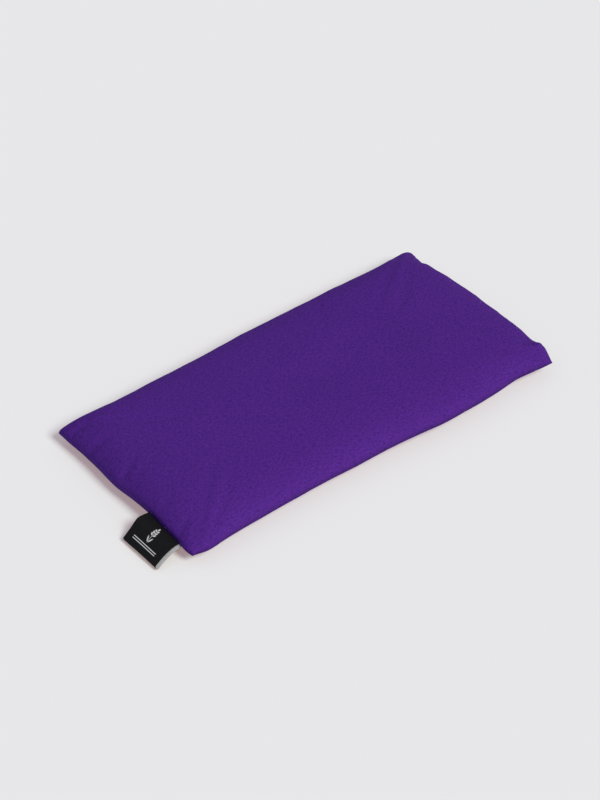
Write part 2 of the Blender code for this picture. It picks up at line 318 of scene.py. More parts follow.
def seed_material():
    """Glossy brown linseed with some lavender buds among it."""
    n = Nodes("linseed_and_lavender")
    place = n.add("ShaderNodeTexCoord").outputs["Object"]
    cells = n.add("ShaderNodeTexVoronoi")
    n.link(n.stretched(place, (260.0, 420.0, 420.0)), cells.inputs["Vector"])
    cells.inputs["Scale"].default_value = 1.0
    parts = n.add("ShaderNodeSeparateColor")
    n.link(cells.outputs["Color"], parts.inputs[0])
    bud = n.math("GREATER_THAN", parts.outputs[0], 0.9)
    tone = n.mix(parts.outputs[1], dyed(LINSEED, 0.7), dyed(LINSEED, 1.5))
    colour = n.mix(bud, tone, LAVENDER)
    relief = n.bump(n.math("SUBTRACT", 1.0, cells.outputs["Distance"]), 0.5 * MM, 0.8)
    n.set(Roughness=0.4)
    return n.finish(colour, relief)


def floor_material():
    """A pale studio table with a painted glow: it gives off a faint pinkish light of its own, so that
    shadows on it stay soft and warm.
    """
    n = Nodes("studio_floor")
    place = n.add("ShaderNodeTexCoord").outputs["Object"]
    grain = n.noise(place, 60.0, 3.0, 0.5)
    colour = n.mix(n.math("MULTIPLY", grain, 0.02), FLOOR, dyed(FLOOR, 0.97))
    n.set(Roughness=0.9, Specular_IOR_Level=0.0)
    # painted glow, which lightens and warms the shadows on the table
    n.set(Emission_Color=FLOOR_PAINTED_GLOW, Emission_Strength=FLOOR_PAINTED_GLOW_STRENGTH)
    return n.finish(colour, n.bump(grain, 0.01 * MM, 0.1))


# ------------------------ shape helpers
def smooth(t):
    t = np.clip(t, 0.0, 1.0)
    return t * t * (3.0 - 2.0 * t)


def hill(x, centre, width):
    return np.exp(-(((x - centre) / width) ** 2))


def waves(s, parts):
    """A sum of sine waves along s: each part is (length, height, phase)."""
    return sum(height * np.sin(2.0 * pi * s / length + phase) for length, height, phase in parts)


def value_noise(x, y, size, seed):
    """Smooth noise from -1 to 1 over (x, y), with lumps about size across."""
    rng = np.random.default_rng(seed)
    table = rng.uniform(-1.0, 1.0, (64, 64))
    gx = x / size + 32.0
    gy = y / size + 32.0
    ix = np.floor(gx).astype(int)
    iy = np.floor(gy).astype(int)
    fx = smooth(gx - ix)
    fy = smooth(gy - iy)
    a = table[ix % 64, iy % 64]
    b = table[(ix + 1) % 64, iy % 64]
    c = table[ix % 64, (iy + 1) % 64]
    d = table[(ix + 1) % 64, (iy + 1) % 64]
    return (a * (1 - fx) + b * fx) * (1 - fy) + (c * (1 - fx) + d * fx) * fy


def shares(count, crowding):
    """Places from -1 to 1, closer together towards the edges the more crowding there is."""
    t = np.linspace(-1.0, 1.0, count + 1)
    return (1.0 - crowding) * t + crowding * np.sin(pi / 2 * t)


def edge_profile(depth, reach, power, soften):
    """How far a panel has risen at this depth in from its edge: 0 at the edge, 1 from reach on."""
    t = np.clip(depth / reach, 0.0, 1.0)
    return np.clip(1.0 - (1.0 - t) ** power, 0.0, 1.0) ** soften


def through(x, points):
    """A smooth curve y(x) through a few (x, y) points, level beyond its ends."""
    px = np.array([p[0] for p in points])
    py = np.array([p[1] for p in points])
    slope = np.gradient(py, px)
    slope[0] = slope[-1] = 0.0
    x = np.clip(x, px[0], px[-1])
    k = np.clip(np.searchsorted(px, x, side="right") - 1, 0, len(px) - 2)
    width = px[k + 1] - px[k]
    t = (x - px[k]) / width
    start = (1.0 + 2.0 * t) * (1.0 - t) ** 2 * py[k] + t * (1.0 - t) ** 2 * width * slope[k]
    end = t * t * (3.0 - 2.0 * t) * py[k + 1] + t * t * (t - 1.0) * width * slope[k + 1]
    return start + end


class Pouch:
    """A flat sewn pouch seen from above: its outline, and its depth in from each side."""

    def __init__(self, low, high, grid, crowding=0.55, lip=0.0, shaped=False):
        self.half_x = (high[0] - low[0]) / 2
        self.half_y = (high[1] - low[1]) / 2
        self.lip = lip
        self.shaped = shaped
        self.us = shares(grid[0], crowding)
        self.vs = shares(grid[1], crowding)
        self.u, self.v = np.meshgrid(self.us, self.vs, indexing="ij")
        self.x, self.y = self.outline(self.u, self.v, 0.0)
        self.from_left = (self.u + 1.0) * self.half_x
        self.from_right = (1.0 - self.u) * self.half_x
        self.from_near = (self.v + 1.0) * self.half_y
        self.from_far = (1.0 - self.v) * self.half_y
        nearest_end = np.minimum(self.from_left, self.from_right)
        nearest_side = np.minimum(self.from_near, self.from_far)
        self.depth = np.minimum(nearest_end, nearest_side)

    def outline(self, u, v, inset):
        """Where (u, v), each from -1 to 1, lies inside the outline drawn in by the inset."""
        x = u * (self.half_x - inset)
        y = v * (self.half_y - inset)
        x = x - u * 0.6 * MM * (1.0 - v * v)
        y = y - v * 0.6 * MM * (1.0 - u * u)
        if self.shaped:
            dx, dy = cover_outline_shift(u, v, self.half_x, self.half_y)
            x = x + dx
            y = y + dy
        return x, y

    def edge(self):
        """The folded edge: a quarter round just above or below the seam."""
        roll = np.minimum(1.0, self.depth / (0.6 * MM))
        return 0.05 * MM + self.roll_height * np.sqrt(1.0 - (1.0 - roll) ** 2)

    def swell(self, reach):
        """How full the pouch is: 0 at its edges, 1 from reach on."""
        full = 1.0
        for depth in (self.from_near, self.from_far, self.from_left, self.from_right):
            full = full * edge_profile(depth, reach, 2.2, 0.9)
        return full

    def places(self, z):
        return np.stack([self.x, self.y, z], axis=-1)

    def sides(self):
        """For each side, the depth in from it and the place along it, in millimetres."""
        x = self.x / MM
        y = self.y / MM
        depths = (self.from_near / MM, self.from_far / MM, self.from_left / MM, self.from_right / MM)
        return list(zip(depths, (x, x, y, y)))


# How far each side of the cover strays outwards from a rectangle, in millimetres, by where along it
NEAR_SIDE = (
    (-116, -1.2), (-108, 0.8), (-97, 0.8), (-84, 0.4), (-68, 0.0), (-45, -0.2), (-28, -0.2), (-8, 0.2),
    (10, 0.5), (24, 1.3), (38, 2.4), (52, 2.5), (66, 2.2), (78, 1.1), (92, -0.4), (103, 0.2), (116, 1.4),
)
FAR_SIDE = (
    (-116, 2.3), (-109, 1.2), (-102, -0.1), (-89, -1.2), (-60, -1.0), (-30, -0.8), (-15, 0.1), (20, 0.3),
    (50, 0.2), (72, -0.5), (95, -0.2), (104, 1.2), (111, 2.4), (116, 2.4),
)
LEFT_SIDE = (
    (-56, 0.6), (-52, 1.2), (-44, 0.7), (-35, 0.6), (-27, 0.3), (-18, 0.0), (-4, 0.0), (8, 0.5), (18, -0.1),
    (26, -0.8), (38, -1.3), (50, -1.3), (56, -1.5),
)
RIGHT_SIDE = (
    (-57, -3.2), (-52, -1.6), (-40, 0.2), (-10, 1.0), (12, 0.6), (25, -0.5), (33, -1.5), (41, -1.9),
    (47, -1.7), (50, -1.6), (52.5, -0.4), (57, -0.8),
)


def cover_outline_shift(u, v, half_x, half_y):
    """How the real cover's outline strays from a rectangle: pulled corners and soft waves."""
    x = u * half_x / MM
    y = v * half_y / MM
    fade = 20.0 * MM
    near = np.exp(-(1.0 + v) * half_y / fade)
    far = np.exp(-(1.0 - v) * half_y / fade)
    left = np.exp(-(1.0 + u) * half_x / fade)
    right = np.exp(-(1.0 - u) * half_x / fade)
    dy = far * through(x, FAR_SIDE) - near * through(x, NEAR_SIDE)
    dx = right * through(y, RIGHT_SIDE) - left * through(y, LEFT_SIDE)
    return dx * MM, dy * MM


def add_grid(shape, places):
    return [[shape.verts.new(place) for place in line] for line in places]


def add_grid_faces(shape, grid, turned_over):
    """The grid's faces, facing down when turned over."""
    for line, next_line in zip(grid, grid[1:]):
        for j in range(len(line) - 1):
            corners = (line[j], next_line[j], next_line[j + 1], line[j + 1])
            shape.faces.new(corners[::-1] if turned_over else corners)


def map_cloth(shape, cloth_map, where):
    """Writes each vertex's place on the flat cloth into the mesh's cloth map."""
    for face in shape.faces:
        for corner in face.loops:
            corner[cloth_map].uv = where[corner.vert]


def border(columns, rows):
    """The grid's border, once round."""
    near = [(i, 0) for i in range(columns)]
    right = [(columns, j) for j in range(rows)]
    far = [(i, rows) for i in range(columns, 0, -1)]
    left = [(0, j) for j in range(rows, 0, -1)]
    return near + right + far + left


def cloth_panel(name, pouch, z, shift, side, material, cloth, allowance, fold, slit, spread):
    """One panel of a pouch as a closed cloth: its outside z, its inside, and its turned-in edges.

    side is 1 for the upper panel and -1 for the lower one. The turned-in allowance starts at slit from
    the seam's height and lies spread further off it, except in the hem at a pouch's mouth.
    """
    x, u, v = pouch.x, pouch.u, pouch.v
    columns, rows = x.shape[0] - 1, x.shape[1] - 1
    outer = pouch.places(z) + finer(shift, pouch.us, pouch.vs)
    outer[..., 2] = np.maximum(outer[..., 2], 0.0)
    along = np.gradient(outer, axis=0)
    across = np.gradient(outer, axis=1)
    normal = np.cross(along, across)
    normal = normal / np.maximum(np.linalg.norm(normal, axis=-1, keepdims=True), 1e-12)
    inner = outer - normal * side * cloth
    seam = pouch.seam_height(u, v, side)
    behind_hem = np.minimum(1.0, np.maximum(0.0, (pouch.half_x - 8.0 * MM - x) / (6.0 * MM)))
    strip = slit + spread * (behind_hem if pouch.lip else np.ones_like(x))
    # the inside stays above the turned-in edge
    floor_height = strip + cloth + 0.1 * MM
    deep = pouch.depth < allowance
    inside_gap = side * (inner[..., 2] - seam)
    inner[..., 2] = np.where(deep & (inside_gap < floor_height), seam + side * floor_height, inner[..., 2])

    around = border(columns, rows)

    def loop(inset, height):
        points = []
        for i, j in around:
            px, py = pouch.outline(u[i, j], v[i, j], inset)
            points.append((px, py, seam[i, j] + side * height(strip[i, j])))
        return points

    shape = bmesh.new()
    grid_out = add_grid(shape, outer)
    grid_in = add_grid(shape, inner)
    for (i, j), point in zip(around, loop(0.9 * MM, lambda s: s + cloth)):
        grid_in[i][j].co = point
    loops = [
        loop(fold / 3, lambda s: slit),
        loop(1.2 * MM, lambda s: s),
        loop(allowance, lambda s: s),
        loop(allowance, lambda s: s + cloth),
    ]
    cloth_map = shape.loops.layers.uv.new("cloth")
    warp, weft = cloth_distances(outer)
    where = {}
    for grid in (grid_out, grid_in):
        for i in range(columns + 1):
            for j in range(rows + 1):
                where[grid[i][j]] = (warp[i, j], weft[i, j])
    rings = [[grid_out[i][j] for i, j in around]]
    for k, points in enumerate(loops):
        ring = []
        for (i, j), point in zip(around, points):
            vertex = shape.verts.new(point)
            stretch = 1.0 + 0.004 * (k + 1)
            where[vertex] = (warp[i, j] * stretch, weft[i, j] * stretch)
            ring.append(vertex)
        rings.append(ring)
    rings.append([grid_in[i][j] for i, j in around])
    flip = side < 0
    add_grid_faces(shape, grid_out, flip)
    add_grid_faces(shape, grid_in, not flip)
    for first, second in zip(rings, rings[1:]):
        for k in range(len(first)):
            m = (k + 1) % len(first)
            corners = (first[k], second[k], second[m], first[m])
            shape.faces.new(corners[::-1] if flip else corners)
    map_cloth(shape, cloth_map, where)
    return finish_piece(name, shape, material)


# ------------------------ how the cloth settles
SETTLING_FRAMES = 16
SETTLING_PRESSURE = 20.0


def settle(pouch, growth, cap):
    """Runs Blender's cloth on the sewn pouch and gives each panel's wrinkles, as shifts of its grid.

    The cloth is cut larger by growth than the seam it is sewn into, so it puckers. Only the fine
    part of how it moves is kept, and cap is the most that it can shift.
    """
    columns, rows = pouch.u.shape[0] - 1, pouch.u.shape[1] - 1
    shape = bmesh.new()
    upper = add_grid(shape, pouch.places(pouch.top()))
    around = set(border(columns, rows))
    places = pouch.places(pouch.bottom())
    lower = []
    for i in range(columns + 1):
        line = []
        for j in range(rows + 1):
            line.append(upper[i][j] if (i, j) in around else shape.verts.new(places[i, j]))
        lower.append(line)
    add_grid_faces(shape, upper, False)
    add_grid_faces(shape, lower, True)
    shape.verts.index_update()
    upper_index = np.array([[v.index for v in line] for line in upper])
    lower_index = np.array([[v.index for v in line] for line in lower])
    mesh = bpy.data.meshes.new("settling_cloth")
    shape.to_mesh(mesh)
    shape.free()
    cloth = bpy.data.objects.new("settling_cloth", mesh)
    bpy.context.scene.collection.objects.link(cloth)
    seam = cloth.vertex_groups.new(name="seam")
    seam.add([int(upper_index[i, j]) for i, j in around], 1.0, "ADD")
    start = positions(mesh)

    settings = cloth.modifiers.new("cloth", "CLOTH").settings
    settings.quality = 6
    settings.mass = 0.05
    settings.tension_stiffness = 12.0
    settings.compression_stiffness = 12.0
    settings.shear_stiffness = 6.0
    settings.bending_stiffness = 1.5
    settings.use_pressure = True
    settings.uniform_pressure_force = SETTLING_PRESSURE
    settings.shrink_min = -growth
    settings.vertex_group_mass = "seam"
    settings.effector_weights.gravity = 0.0
    scene = bpy.context.scene
    for frame_number in range(1, SETTLING_FRAMES + 1):
        scene.frame_set(frame_number)
    settled = cloth.evaluated_get(bpy.context.evaluated_depsgraph_get())
    moved = positions(settled.data) - start
    bpy.data.objects.remove(cloth)
    scene.frame_set(1)
    shifts = []
    for index in (upper_index, lower_index):
        shift = moved[index]
        shift = shift - blurred(shift, 3)
        size = np.linalg.norm(shift, axis=-1, keepdims=True)
        shift = shift * cap / (cap + size)
        edge = np.minimum(1.0, pouch.depth / (2.0 * MM))[..., None]
        shifts.append(shift * edge)
    return shifts


def positions(mesh):
    flat = np.empty(3 * len(mesh.vertices))
    mesh.vertices.foreach_get("co", flat)
    return flat.reshape(-1, 3)


def blurred(field, reach):
    """The field averaged over its neighbours up to reach away, twice along each direction."""
    for axis in (0, 1):
        for _ in range(2):
            padding = [(0, 0)] * field.ndim
            padding[axis] = (reach, reach)
            padded = np.pad(field, padding, mode="edge")
            total = np.cumsum(padded, axis=axis)
            total = np.insert(total, 0, 0.0, axis=axis)
            width = 2 * reach + 1
            last = np.take(total, range(width, total.shape[axis]), axis=axis)
            first = np.take(total, range(0, total.shape[axis] - width), axis=axis)
            field = (last - first) / width
    return field


def finer(field, us, vs):
    """A field on an even grid, read on a finer one by smooth cubic steps."""

    def weights(places, count):
        s = (places + 1.0) / 2.0 * count
        k = np.clip(np.floor(s).astype(int), 0, count - 1)
        t = s - k
        table = np.zeros((len(places), count + 1))
        parts = (
            (-1, -0.5 * t + t**2 - 0.5 * t**3),
            (0, 1.0 - 2.5 * t**2 + 1.5 * t**3),
            (1, 0.5 * t + 2.0 * t**2 - 1.5 * t**3),
            (2, -0.5 * t**2 + 0.5 * t**3),
        )
        for step, weight in parts:
            np.add.at(table, (np.arange(len(places)), np.clip(k + step, 0, count)), weight)
        return table

    along = weights(us, field.shape[0] - 1)
    across = weights(vs, field.shape[1] - 1)
    return np.einsum("ai,ijc,bj->abc", along, field, across)


def cloth_distances(outer):
    """Metres along the cloth from its middle, in both directions, for every grid point."""
    step_u = np.linalg.norm(np.diff(outer, axis=0), axis=-1)
    step_v = np.linalg.norm(np.diff(outer, axis=1), axis=-1)
    columns, rows = outer.shape[:2]
    warp = np.concatenate([np.zeros((1, rows)), np.cumsum(step_u, axis=0)])
    weft = np.concatenate([np.zeros((columns, 1)), np.cumsum(step_v, axis=1)], axis=1)
    return warp - warp[columns // 2], weft - weft[:, rows // 2 : rows // 2 + 1]


def finish_piece(name, shape, material):
    mesh = bpy.data.meshes.new(name)
    if shape.calc_volume(signed=True) < 0.0:
        bmesh.ops.reverse_faces(shape, faces=shape.faces)
    shape.to_mesh(mesh)
    shape.free()
    mesh.shade_smooth()
    mesh.materials.append(material)
    piece = bpy.data.objects.new(name, mesh)
    bpy.context.scene.collection.objects.link(piece)
    return piece


# ------------------------ the cover
class Cover(Pouch):
    roll_height = 0.6 * MM

    def __init__(self, grid, crowding=0.55):
        self.rise = COVER_HIGH[2] - SEAM_Z
        super().__init__(COVER_LOW, COVER_HIGH, grid, crowding, MOUTH_LIP, True)

    def seam_height(self, u, v, side=1):
        """The seam's height above the table: lower at the ends and corners, and open at the mouth."""
        x = u * self.half_x / MM
        y = v * self.half_y / MM
        lift = -1.6 * hill(x, 116.0, 14.0) * hill(y, 56.0, 16.0)
        lift = lift - 1.8 * hill(x, -116.0, 20.0) * hill(y, -50.0, 30.0)
        lift = lift - 2.0 * hill(x, -118.0, 10.0) * smooth((y + 22.0) / 34.0)
        lift = lift + 0.15 * waves(x, [(53.0, 1.0, 0.3), (31.0, 0.5, 1.9)])
        gape = smooth((u - 0.93) / 0.07) * self.mouth_gape(y) if side > 0 else 0.0
        return SEAM_Z - 0.2 * MM + (lift + gape) * MM

    def mouth_gape(self, y):
        """How far the top hem stands off the bottom hem, in millimetres, at y along the mouth."""
        slack = 0.35 * smooth((50.0 - np.abs(y)) / 20.0)
        return slack + 3.4 * hill(y, -47.0, 4.5) - 0.15 * hill(y, 20.0, 12.0)

    def top(self):
        seam = self.seam_height(self.u, self.v)
        reach = 58.0 * MM
        rise = edge_profile(self.from_near, reach, 4.0, 0.40)
        rise = rise * edge_profile(self.from_far, reach, 4.0, 0.31)
        rise = rise * edge_profile(self.from_left, reach, 4.0, 0.42)
        rise = rise * edge_profile(self.from_right - self.lip, reach, 4.4, 0.36)
        top = seam + self.edge() + (self.rise + 0.6 * MM) * rise
        return top + self.relief(1, creased=True) + self.mouth_lift()

    def mouth_lift(self):
        """The mouth's corners: the near one is propped up by the filling just inside it."""
        x = self.x / MM
        y = self.y / MM
        inside = smooth((self.depth - 0.5 * MM) / (3.0 * MM))
        lift = 1.2 * hill(x, 110.0, 5.0) * hill(y, -48.0, 4.5)
        lift = lift - 0.8 * hill(x, 112.0, 6.0) * hill(y, -38.0, 5.0)
        lift = lift - 1.0 * hill(x, 112.0, 5.0) * hill(y, 46.0, 4.0)
        return lift * inside * MM

    def bottom(self):
        seam = self.seam_height(self.u, self.v, -1)
        fall = edge_profile(self.from_near, 15.0 * MM, 1.8, 1.0)
        fall = fall * edge_profile(self.from_far, 15.0 * MM, 1.8, 1.0)
        fall = fall * edge_profile(self.from_left, 16.0 * MM, 1.8, 1.0)
        fall = fall * edge_profile(self.from_right - self.lip, 16.0 * MM, 1.8, 1.0)
        z = seam - self.edge() - (seam - self.edge()) * np.minimum(1.0, 1.08 * fall)
        return np.maximum(z - self.relief(2), 0.0)

    def relief(self, seed, creased=False):
        """Soft lumps of the filling, puckers along the seams, and the upper panel's creases."""
        x = self.x / MM
        y = self.y / MM
        inside = smooth(self.depth / (12.0 * MM))
        lumps = 0.28 * value_noise(x, y, 34.0, seed) + 0.16 * value_noise(x, y, 15.0, seed + 10)
        grains = 0.035 * value_noise(x, y, 3.6, seed + 20) + 0.03 * value_noise(x, y, 2.3, seed + 30)
        z = inside * (lumps + grains)
        z = z + self.puckers(seed)
        if creased:
            z = z - self.creases()
        return z * MM

    def puckers(self, seed):
        """Ripples that run in from each seam and die away."""
        strength = 0.6 + 0.4 * value_noise(self.x / MM, self.y / MM, 21.0, seed + 40)
        z = 0.0
        for k, (d, s) in enumerate(self.sides()):
            phase = 2.0 * k
            reach = (d / (d + 1.5)) * np.exp(-d / 7.0)
            ripple = waves(s, [(19.0, 0.20, phase), (12.3, 0.14, phase + seed), (7.1, 0.05, 2.0 * phase)])
            z = z + reach * ripple * strength
        return z

    def creases(self):
        """The depth of the short creases that run in from the seam."""
        x = self.x / MM
        y = self.y / MM
        total = 0.0
        for x0, y0, x1, y1, depth, width in CREASES:
            length = np.hypot(x1 - x0, y1 - y0)
            ux, uy = (x1 - x0) / length, (y1 - y0) / length
            along = (x - x0) * ux + (y - y0) * uy
            off = (x - x0) * uy - (y - y0) * ux
            fade = smooth(along / 4.0) * smooth((length - along) / (0.7 * length))
            total = total + depth * fade * np.exp(-((off / width) ** 2))
        return total


# Each crease, in millimetres: its place at the seam (x, y), its inner end (x, y), its depth and its width
CREASES = (
    (-116.0, 34.0, -97.0, 27.0, 0.9, 2.7),
    (-116.0, 4.0, -100.0, 11.0, 0.8, 2.6),
    (-116.0, 50.0, -100.0, 44.0, 0.6, 2.2),
    (-116.0, -43.0, -102.0, -37.0, 0.7, 2.6),
    (116.0, 46.0, 101.0, 38.0, 0.7, 2.2),
    (116.0, -47.0, 100.0, -41.0, 0.8, 2.2),
    (106.0, -56.0, 99.0, -44.0, 0.6, 2.0),
    (104.0, 56.0, 97.0, 46.0, 0.5, 2.0),
)


def wrinkles_of(pouch, growth, cap):
    return settle(pouch, growth, cap)


def make_cover(material):
    cover = Cover((240, 128))
    upper, lower = wrinkles_of(Cover((144, 72), crowding=0.0), growth=0.008, cap=0.22 * MM)
    top = cloth_panel("cover_top", cover, cover.top(), upper, 1, material, **COVER_SEWING)
    bottom = cloth_panel("cover_bottom", cover, cover.bottom(), lower, -1, material, **COVER_SEWING)
    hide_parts("cover_top_panel")
    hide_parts("cover_bottom_panel")
    for piece in (top, bottom):
        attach(piece, "cover")
    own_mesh(top)
    return cover


# ------------------------ the inner bag
class InnerBag(Pouch):
    roll_height = 0.65 * MM

    def __init__(self, grid, crowding=0.55):
        self.rise = BAG_HIGH[2] - SEAM_Z
        self.fall = SEAM_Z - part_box("inner_bag_bottom_panel")[0][2]
        super().__init__(BAG_LOW, BAG_HIGH, grid, crowding)

    def seam_height(self, u, v, side=1):
        return np.full_like(u, SEAM_Z)

    def relief(self, seed):
        """Soft lumps of the filling, and puckers along the seams."""
        x = self.x / MM
        y = self.y / MM
        inside = smooth(self.depth / (9.0 * MM))
        z = inside * (0.22 * value_noise(x, y, 22.0, seed) + 0.10 * value_noise(x, y, 3.4, seed + 10))
        for d, s in self.sides():
            ripple = waves(s, [(9.0, 0.22, seed), (6.1, 0.14, 2.0 * seed)])
            z = z + (d / (d + 1.0)) * np.exp(-d / 4.5) * ripple
        return (z - 0.25) * MM

    def top(self):
        crown = 1.0 - 0.10 * self.v**2 - 0.04 * self.u**2
        full = self.swell(14.0 * MM)
        return SEAM_Z + self.edge() + (self.rise - self.edge()) * full * crown + self.relief(3) * full

    def bottom(self):
        full = np.minimum(1.0, 1.06 * self.swell(16.0 * MM))
        return SEAM_Z - self.edge() - (self.fall - self.edge()) * full - self.relief(4) * full * 0.4


def make_inner_bag(material):
    bag = InnerBag((200, 96))
    upper, lower = wrinkles_of(InnerBag((132, 60), crowding=0.0), growth=0.015, cap=0.4 * MM)
    top = cloth_panel("inner_bag_top", bag, bag.top(), upper, 1, material, **BAG_SEWING)
    bottom = cloth_panel("inner_bag_bottom", bag, bag.bottom(), lower, -1, material, **BAG_SEWING)
    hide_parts("inner_bag_top_panel")
    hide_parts("inner_bag_bottom_panel")
    for piece in (top, bottom):
        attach(piece, "inner_pillow")
    return bag


SEED_COUNT = 5200
SEED_RADIUS = 1.3 * MM
SEED_HEIGHT = 0.35 * MM


def make_filling(material):
    """The seeds as one heap with a grain of single seeds over it."""
    fill = Pouch(FILL_LOW, FILL_HIGH, (170, 80))
    rng = np.random.default_rng(7)
    spots_x = rng.uniform(-fill.half_x, fill.half_x, SEED_COUNT)
    spots_y = rng.uniform(-fill.half_y, fill.half_y, SEED_COUNT)
    tree = kdtree.KDTree(SEED_COUNT)
    for k, (sx, sy) in enumerate(zip(spots_x, spots_y)):
        tree.insert((sx, sy, 0.0), k)
    tree.balance()
    grain = np.zeros_like(fill.x)
    for i in range(grain.shape[0]):
        for j in range(grain.shape[1]):
            distance = tree.find((fill.x[i, j], fill.y[i, j], 0.0))[2]
            grain[i, j] = SEED_HEIGHT * (1.0 - min(1.0, distance / SEED_RADIUS) ** 2)
    full = fill.swell(13.0 * MM)
    crown = 1.0 - 0.12 * fill.v**2 - 0.05 * fill.u**2
    rise = FILL_HIGH[2] - SEAM_Z - 1.8 * MM
    fall = SEAM_Z - FILL_LOW[2] - 1.5 * MM
    upper = SEAM_Z + 1.0 * MM + rise * full * crown + grain * full - 0.25 * MM
    lower = SEAM_Z - 1.0 * MM - fall * np.minimum(1.0, 1.05 * full)
    shape = bmesh.new()
    grid_up = add_grid(shape, fill.places(upper))
    grid_low = add_grid(shape, fill.places(lower))
    add_grid_faces(shape, grid_up, False)
    add_grid_faces(shape, grid_low, True)
    around = border(fill.x.shape[0] - 1, fill.x.shape[1] - 1)
    for (i, j), (m, n) in zip(around, around[1:] + around[:1]):
        shape.faces.new((grid_low[i][j], grid_low[m][n], grid_up[m][n], grid_up[i][j]))
    heap = finish_piece("seed_mass", shape, material)
    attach(heap, "inner_pillow")
    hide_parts("seed_filling")


# ------------------------ threads
def tube(name, points, radius, sides, material):
    """A closed round tube through a list of points."""
    shape = bmesh.new()
    rings = []
    count = len(points)
    for k, point in enumerate(points):
        here = Vector(point)
        ahead = Vector(points[min(count - 1, k + 1)]) - Vector(points[max(0, k - 1)])
        ahead.normalize()
        aside = ahead.cross(Vector((0.0, 0.0, 1.0)))
        aside.normalize()
        up = aside.cross(ahead)
        ring = []
        for m in range(sides):
            turn = 2.0 * pi * m / sides
            ring.append(shape.verts.new(here + (aside * cos(turn) + up * sin(turn)) * radius))
        rings.append(ring)
    for first, second in zip(rings, rings[1:]):
        for m in range(sides):
            n = (m + 1) % sides
            shape.faces.new((first[m], first[n], second[n], second[m]))
    shape.faces.new(rings[0][::-1])
    shape.faces.new(rings[-1])
    return finish_piece(name, shape, material)


def stitch_wave(points, pitch, height):
    """A run of lock stitches: the thread dips between the layers once each stitch."""
    points = np.array(points)
    steps = np.linalg.norm(np.diff(points, axis=0), axis=1)
    s = np.concatenate([[0.0], np.cumsum(steps)])
    count = int(s[-1] / pitch) * 8
    where = np.linspace(0.0, s[-1], count + 1)
    run = np.column_stack([np.interp(where, s, points[:, k]) for k in range(3)])
    run[:, 2] += height * np.sin(2.0 * pi * where / pitch)
    return [tuple(p) for p in run]


def on_seam(pouch, places, inset, z, side=1):
    """Points at z over the seam, drawn in by the inset, for each (u, v)."""
    points = []
    for u, v in np.array(places):
        x, y = pouch.outline(u, v, inset)
        points.append((float(x), float(y), float(pouch.seam_height(u, v, side)) + z))
    return points


def three_sides(pouch, end_inset, z):
    """A run along the near side, round the label end and back along the far side."""
    corner = SEAM_INSET + 2.0 * MM
    reach_u = 1.0 - end_inset / pouch.half_x
    corner_u = 1.0 - corner / pouch.half_x
    corner_v = 1.0 - corner / pouch.half_y
    near = [(reach_u - (reach_u + corner_u) * k / 60, -1.0) for k in range(61)]
    label_end = [(-1.0, -corner_v + 2.0 * corner_v * k / 40) for k in range(41)]
    far = [(-corner_u + (reach_u + corner_u) * k / 60, 1.0) for k in range(61)]
    return on_seam(pouch, near + label_end + far, SEAM_INSET, z)


def end_line(pouch, inset, side_inset, z, side=1):
    """A run across the end away from the label."""
    reach = 1.0 - side_inset / pouch.half_y
    places = [(1.0, -reach + 2.0 * reach * k / 40) for k in range(41)]
    return on_seam(pouch, places, inset, z, side)


def make_threads(cover, bag, purple, ecru):
    runs = (
        ("cover_stitching", "cover_seam_thread", "cover", "cover_thread", purple,
         three_sides(cover, 14.0 * MM, -0.3 * MM)),
        ("mouth_top_stitching", "mouth_top_hem_thread", "cover", "cover_thread", purple,
         end_line(cover, HEM_INSET, 6.5 * MM, 0.5 * MM)),
        ("mouth_bottom_stitching", "mouth_bottom_hem_thread", "cover", "cover_thread", purple,
         end_line(cover, HEM_INSET, 6.5 * MM, -0.5 * MM, -1)),
        ("inner_bag_stitching", "inner_bag_seam_thread", "inner_pillow", "inner_thread", ecru,
         three_sides(bag, 4.2 * MM, 0.0)),
        ("inner_bag_closing_stitching", "inner_bag_closing_thread", "inner_pillow", "inner_thread", ecru,
         end_line(bag, SEAM_INSET, 4.2 * MM, 0.0)),
    )
    for name, node, body, slot_name, material, points in runs:
        piece = tube(name, stitch_wave(points, STITCH, STITCH_DIP), THREAD_RADIUS, 6, material)
        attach(piece, body)
        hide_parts(node)


# ------------------------ the label
def motif_mask(s, t):
    """A sprig of lavender over two plain woven lines, on the label's face, in millimetres.

    s runs from the seam to the free end and t along the seam, from the middle.
    """
    mask = np.zeros_like(s)

    def soft(distance):
        return np.clip(0.5 - distance / 0.12, 0.0, 1.0)

    def line(s0, t0, s1, t1, half):
        length = np.hypot(s1 - s0, t1 - t0)
        ds, dt = (s1 - s0) / length, (t1 - t0) / length
        along = np.clip((s - s0) * ds + (t - t0) * dt, 0.0, length)
        return np.hypot(s - s0 - along * ds, t - t0 - along * dt) - half

    def bud(sc, tc, turn, long_half, wide_half):
        ds, dt = cos(turn), sin(turn)
        a = (s - sc) * ds + (t - tc) * dt
        b = -(s - sc) * dt + (t - tc) * ds
        return (np.hypot(a / long_half, b / wide_half) - 1.0) * wide_half

    mask = np.maximum(mask, soft(line(3.6, 0.0, 11.4, 0.0, 0.13)))
    for k in range(3):
        sc = 4.2 + 1.4 * k
        size = 0.66 + 0.1 * k
        mask = np.maximum(mask, soft(bud(sc, 0.8 + 0.08 * k, -0.7, size, 0.4)))
        mask = np.maximum(mask, soft(bud(sc, -0.8 - 0.08 * k, 0.7, size, 0.4)))
    mask = np.maximum(mask, soft(bud(2.9, 0.0, 0.0, 0.75, 0.42)))
    for sign in (-1.0, 1.0):
        mask = np.maximum(mask, soft(bud(9.9, 1.0 * sign, -0.42 * sign, 1.5, 0.3)))
    for row in (13.1, 14.3):
        mask = np.maximum(mask, soft(line(row, -8.5, row, 8.5, 0.16)))
    return mask


def label_droop(s):
    """How steeply the label's middle line falls at s from the seam."""
    root = radians(6.0)
    tip = radians(31.0)
    reach = np.clip(s / LABEL_LENGTH, 0.0, 1.0)
    return root + (tip - root) * (1.0 - (1.0 - reach) ** 1.6)


